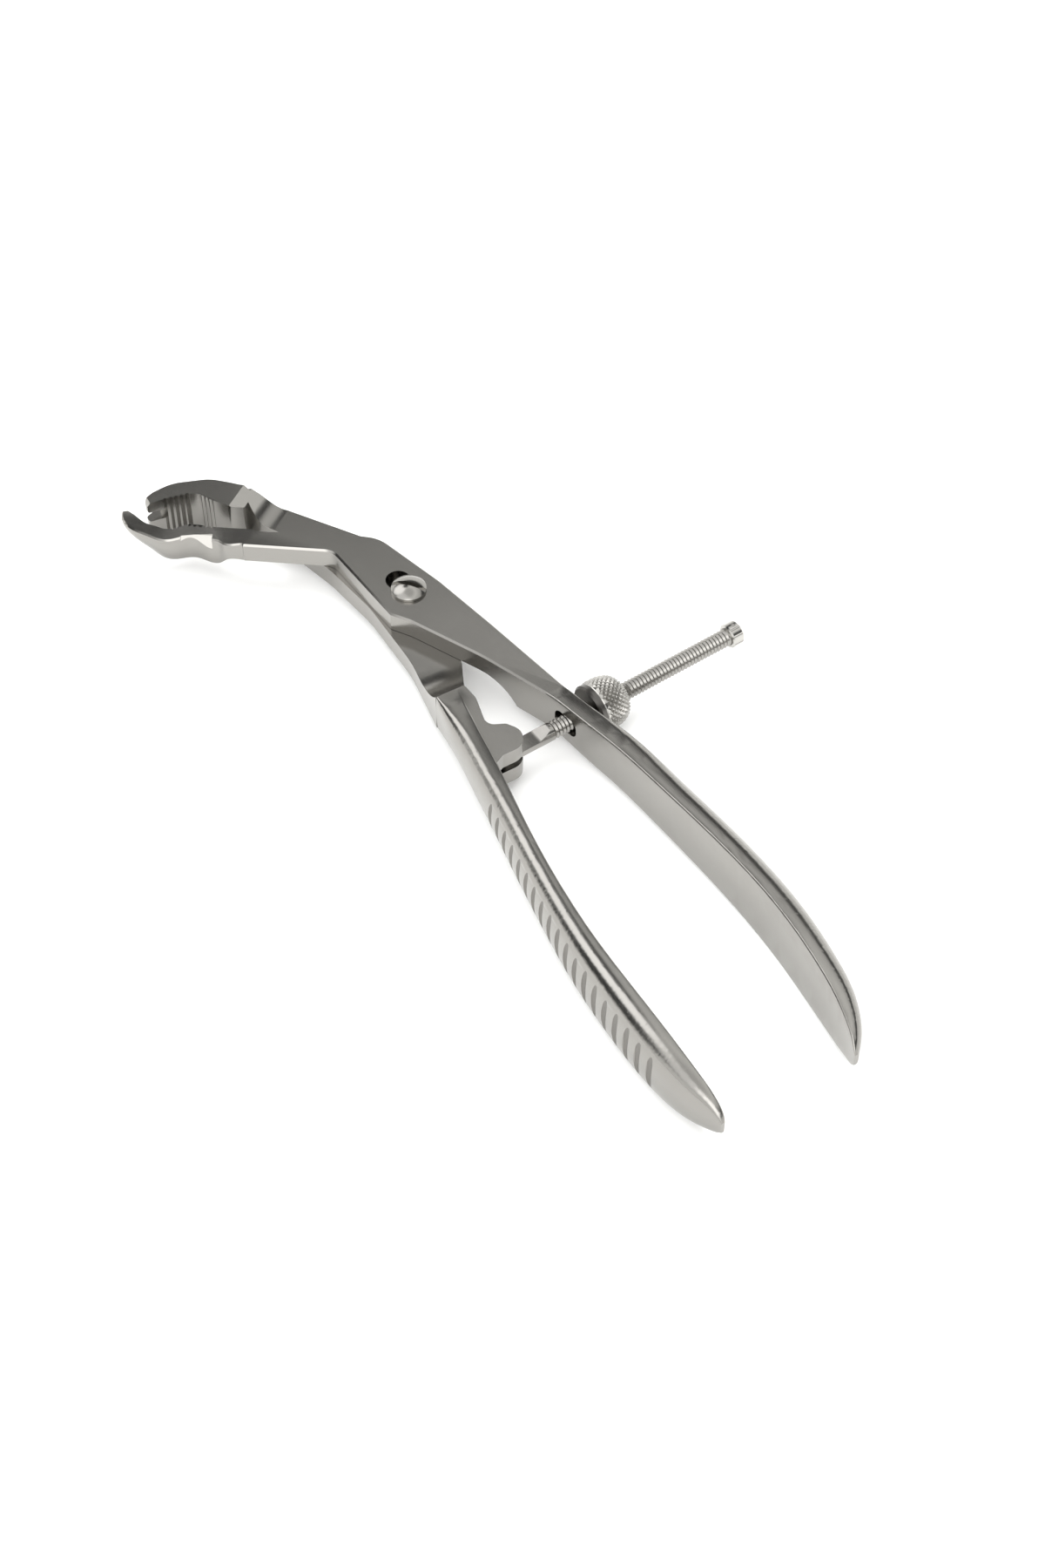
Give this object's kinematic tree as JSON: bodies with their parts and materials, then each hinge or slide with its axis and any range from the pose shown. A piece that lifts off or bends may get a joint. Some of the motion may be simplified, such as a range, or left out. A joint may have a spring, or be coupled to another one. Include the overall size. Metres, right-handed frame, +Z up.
{
  "type": "hand grip forceps with screw lock",
  "caption": "Steel hand grip with two hinged ribbed handles, hooked and serrated jaws, and a swivelling threaded rod with a knurled lock nut.",
  "frame": {"origin": "on the axis of the pivot screw, in the plane of the flat underside of the joint", "axes": "+X from the pivot toward the handle ends, +Y toward the upper arm's handle and the free end of the threaded rod, +Z up along the pivot screw"},
  "size_m": [0.2297, 0.1142, 0.0172],
  "materials": {
    "arms": "satin polished stainless steel",
    "hardware": "polished stainless steel"
  },
  "bodies": {
    "lower_body": {"lower_arm": "arms", "pivot_screw": "hardware", "spindle_hinge_pin": "hardware"},
    "upper_body": {"upper_arm": "arms"},
    "spindle_body": {"threaded_spindle": "hardware", "end_stop_cap": "hardware", "end_stop_pin": "hardware"},
    "collar_body": {"thrust_collar": "hardware"},
    "nut_body": {"lock_nut": "hardware"}
  },
  "joints": [
    {"name": "arm_hinge", "type": "hinge", "parent": "lower_body", "child": "upper_body", "pos_m": [0, 0, 0.0054], "axis": [0, 0, 1], "range_deg": [-2, 32]},
    {"name": "spindle_swivel", "type": "hinge", "parent": "lower_body", "child": "spindle_body", "pos_m": [0.054, -0.004, 0.0054], "axis": [0, 0, 1], "range_deg": [-1.1, 17.3]},
    {"name": "nut_travel", "type": "slide", "parent": "spindle_body", "child": "collar_body", "axis": [-0.0875, 0.9962, 0], "range_m": [-0.00193, 0.03075]},
    {"name": "nut_spin", "type": "hinge", "parent": "collar_body", "child": "nut_body", "pos_m": [0.054, -0.004, 0.0054], "axis": [-0.0875, 0.9962, 0], "range_deg": [-695, 11065]}
  ],
  "couplings": [
    {"joint": "spindle_swivel", "follows": "arm_hinge", "ratio": 0.54},
    {"joint": "nut_travel", "follows": "arm_hinge", "m_per_rad": 0.055},
    {"joint": "nut_spin", "follows": "arm_hinge", "ratio": 345.57}
  ]
}
